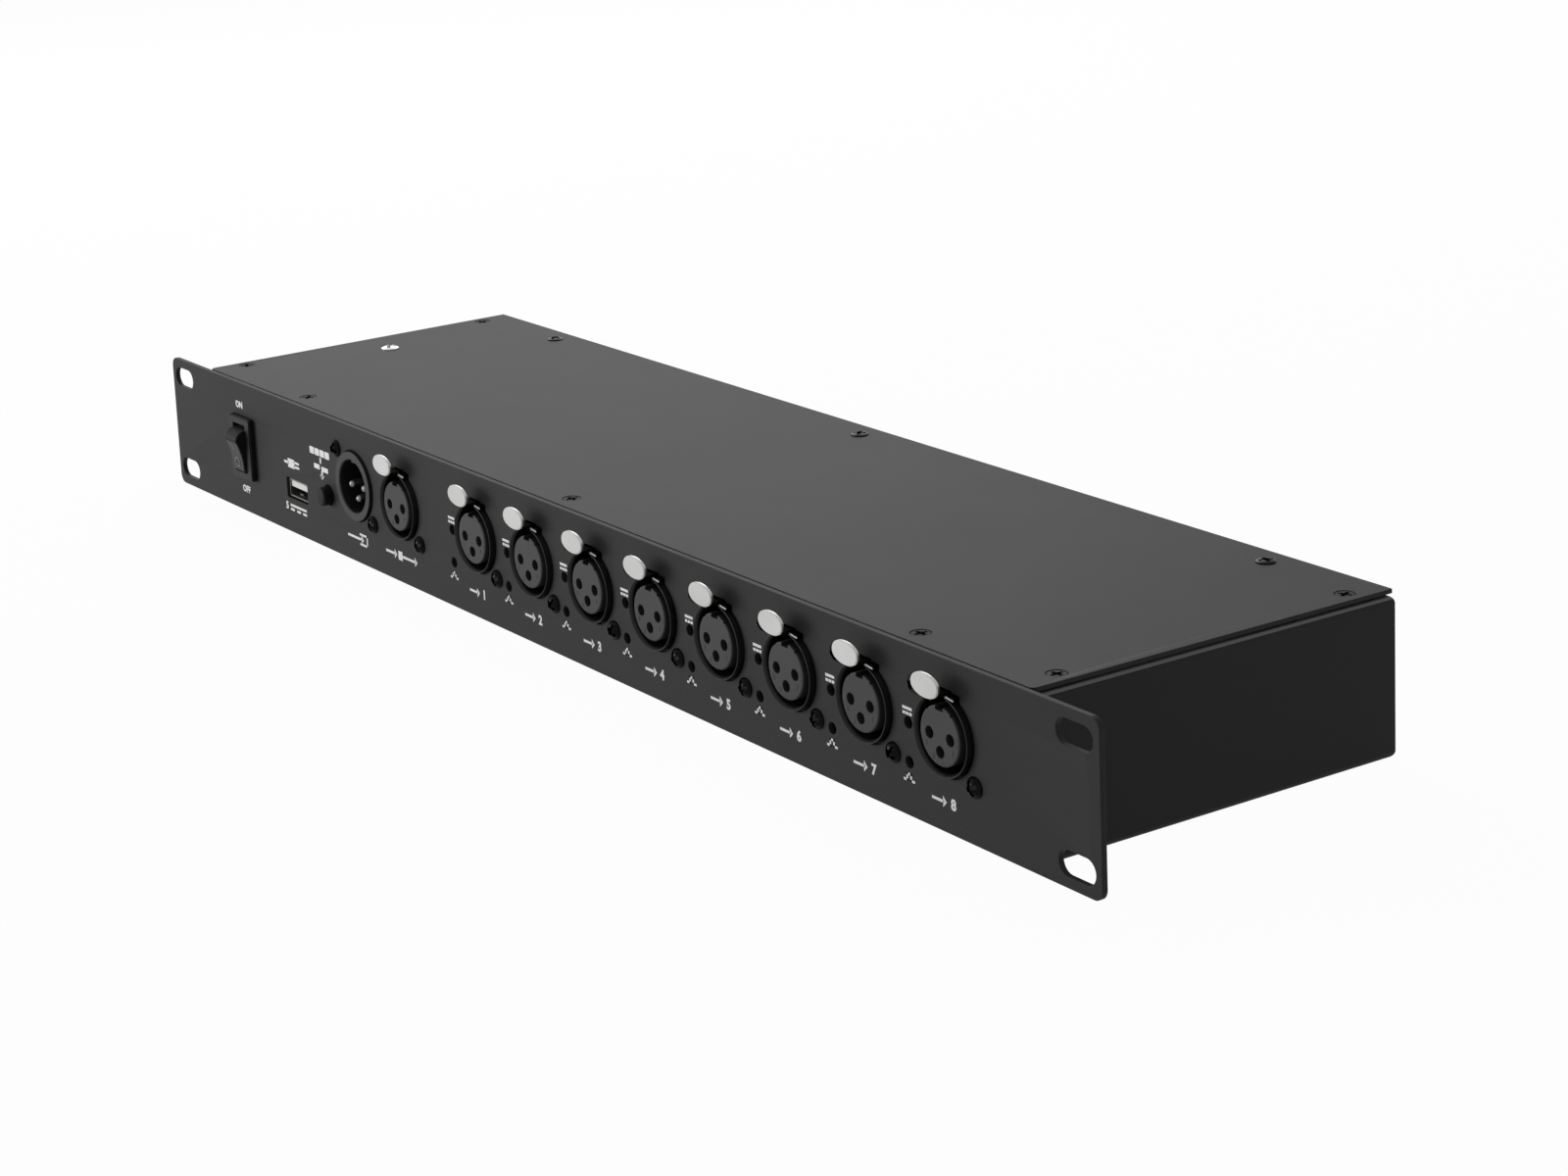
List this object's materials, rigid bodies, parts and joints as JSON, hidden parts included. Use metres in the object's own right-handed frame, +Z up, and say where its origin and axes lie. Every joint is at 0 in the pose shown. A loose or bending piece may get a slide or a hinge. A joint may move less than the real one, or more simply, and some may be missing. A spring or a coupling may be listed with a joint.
{
  "type": "rack-mounted signal splitter",
  "caption": "Flat rack-width steel box with rack ears, a row of round three-pole sockets with metal push latches, one round inlet, a rocker switch, a button and a USB socket.",
  "frame": {"origin": "middle of the chassis underside, across and front to back", "axes": "+X to the right seen from the front, +Y from the front panel into the rack, +Z up"},
  "size_m": [0.4826, 0.1264, 0.044],
  "materials": {
    "painted_steel": "fine matte powder coat",
    "black_plastic": "satin",
    "grey_plastic": "matte",
    "white_plastic": "satin",
    "plated_metal": "satin nickel",
    "gold_contact": "polished",
    "board_laminate": "satin",
    "wound_core": "matte",
    "aluminium_can": "satin",
    "fuse_glass": "clear"
  },
  "bodies": {
    "chassis": {"front_panel": "painted_steel", "chassis_tray": "painted_steel", "top_cover": "painted_steel", "thru_socket_housing": "black_plastic", "thru_socket_insert": "grey_plastic", "out_1_socket_housing": "black_plastic", "out_1_socket_insert": "grey_plastic", "out_2_socket_housing": "black_plastic", "out_2_socket_insert": "grey_plastic", "out_3_socket_housing": "black_plastic", "out_3_socket_insert": "grey_plastic", "out_4_socket_housing": "black_plastic", "out_4_socket_insert": "grey_plastic", "out_5_socket_housing": "black_plastic", "out_5_socket_insert": "grey_plastic", "out_6_socket_housing": "black_plastic", "out_6_socket_insert": "grey_plastic", "out_7_socket_housing": "black_plastic", "out_7_socket_insert": "grey_plastic", "out_8_socket_housing": "black_plastic", "out_8_socket_insert": "grey_plastic", "out_1_indicator": "black_plastic", "out_2_indicator": "black_plastic", "out_3_indicator": "black_plastic", "out_4_indicator": "black_plastic", "out_5_indicator": "black_plastic", "out_6_indicator": "black_plastic", "out_7_indicator": "black_plastic", "out_8_indicator": "black_plastic", "in_plug_housing": "black_plastic", "in_plug_insert": "black_plastic", "in_plug_pin_1": "gold_contact", "in_plug_pin_2": "gold_contact", "in_plug_pin_3": "gold_contact", "rocker_frame": "black_plastic", "button_body": "black_plastic", "usb_shell": "plated_metal", "usb_tongue": "white_plastic", "inlet_body": "black_plastic", "inlet_pin_earth": "plated_metal", "inlet_pin_line": "plated_metal", "inlet_pin_neutral": "plated_metal", "main_board": "board_laminate", "supply_board": "board_laminate", "supply_transformer": "wound_core", "supply_capacitor": "aluminium_can"},
    "thru_latch_body": {"thru_latch": "plated_metal"},
    "out_1_latch_body": {"out_1_latch": "plated_metal"},
    "out_2_latch_body": {"out_2_latch": "plated_metal"},
    "out_3_latch_body": {"out_3_latch": "plated_metal"},
    "out_4_latch_body": {"out_4_latch": "plated_metal"},
    "out_5_latch_body": {"out_5_latch": "plated_metal"},
    "out_6_latch_body": {"out_6_latch": "plated_metal"},
    "out_7_latch_body": {"out_7_latch": "plated_metal"},
    "out_8_latch_body": {"out_8_latch": "plated_metal"},
    "rocker_body": {"rocker": "black_plastic"},
    "button_cap_body": {"button_cap": "black_plastic"},
    "fuse_drawer_body": {"fuse_drawer": "black_plastic", "fuse": "fuse_glass"}
  },
  "joints": [
    {"name": "thru_latch_press", "type": "slide", "parent": "chassis", "child": "thru_latch_body", "axis": [0, 1, 0], "range_m": [0, 0.0018], "stiffness_N_per_m": 600, "springref_m": -0.001},
    {"name": "out_1_latch_press", "type": "slide", "parent": "chassis", "child": "out_1_latch_body", "axis": [0, 1, 0], "range_m": [0, 0.0018], "stiffness_N_per_m": 600, "springref_m": -0.001},
    {"name": "out_2_latch_press", "type": "slide", "parent": "chassis", "child": "out_2_latch_body", "axis": [0, 1, 0], "range_m": [0, 0.0018], "stiffness_N_per_m": 600, "springref_m": -0.001},
    {"name": "out_3_latch_press", "type": "slide", "parent": "chassis", "child": "out_3_latch_body", "axis": [0, 1, 0], "range_m": [0, 0.0018], "stiffness_N_per_m": 600, "springref_m": -0.001},
    {"name": "out_4_latch_press", "type": "slide", "parent": "chassis", "child": "out_4_latch_body", "axis": [0, 1, 0], "range_m": [0, 0.0018], "stiffness_N_per_m": 600, "springref_m": -0.001},
    {"name": "out_5_latch_press", "type": "slide", "parent": "chassis", "child": "out_5_latch_body", "axis": [0, 1, 0], "range_m": [0, 0.0018], "stiffness_N_per_m": 600, "springref_m": -0.001},
    {"name": "out_6_latch_press", "type": "slide", "parent": "chassis", "child": "out_6_latch_body", "axis": [0, 1, 0], "range_m": [0, 0.0018], "stiffness_N_per_m": 600, "springref_m": -0.001},
    {"name": "out_7_latch_press", "type": "slide", "parent": "chassis", "child": "out_7_latch_body", "axis": [0, 1, 0], "range_m": [0, 0.0018], "stiffness_N_per_m": 600, "springref_m": -0.001},
    {"name": "out_8_latch_press", "type": "slide", "parent": "chassis", "child": "out_8_latch_body", "axis": [0, 1, 0], "range_m": [0, 0.0018], "stiffness_N_per_m": 600, "springref_m": -0.001},
    {"name": "rocker_tilt", "type": "hinge", "parent": "chassis", "child": "rocker_body", "pos_m": [-0.1886, -0.0558, 0.0225], "axis": [1, 0, 0], "range_deg": [-21, 0]},
    {"name": "button_press", "type": "slide", "parent": "chassis", "child": "button_cap_body", "axis": [0, 1, 0], "range_m": [0, 0.0015], "stiffness_N_per_m": 700, "springref_m": -0.001},
    {"name": "fuse_drawer_slide", "type": "slide", "parent": "chassis", "child": "fuse_drawer_body", "axis": [0, 1, 0], "range_m": [0, 0.018]}
  ]
}
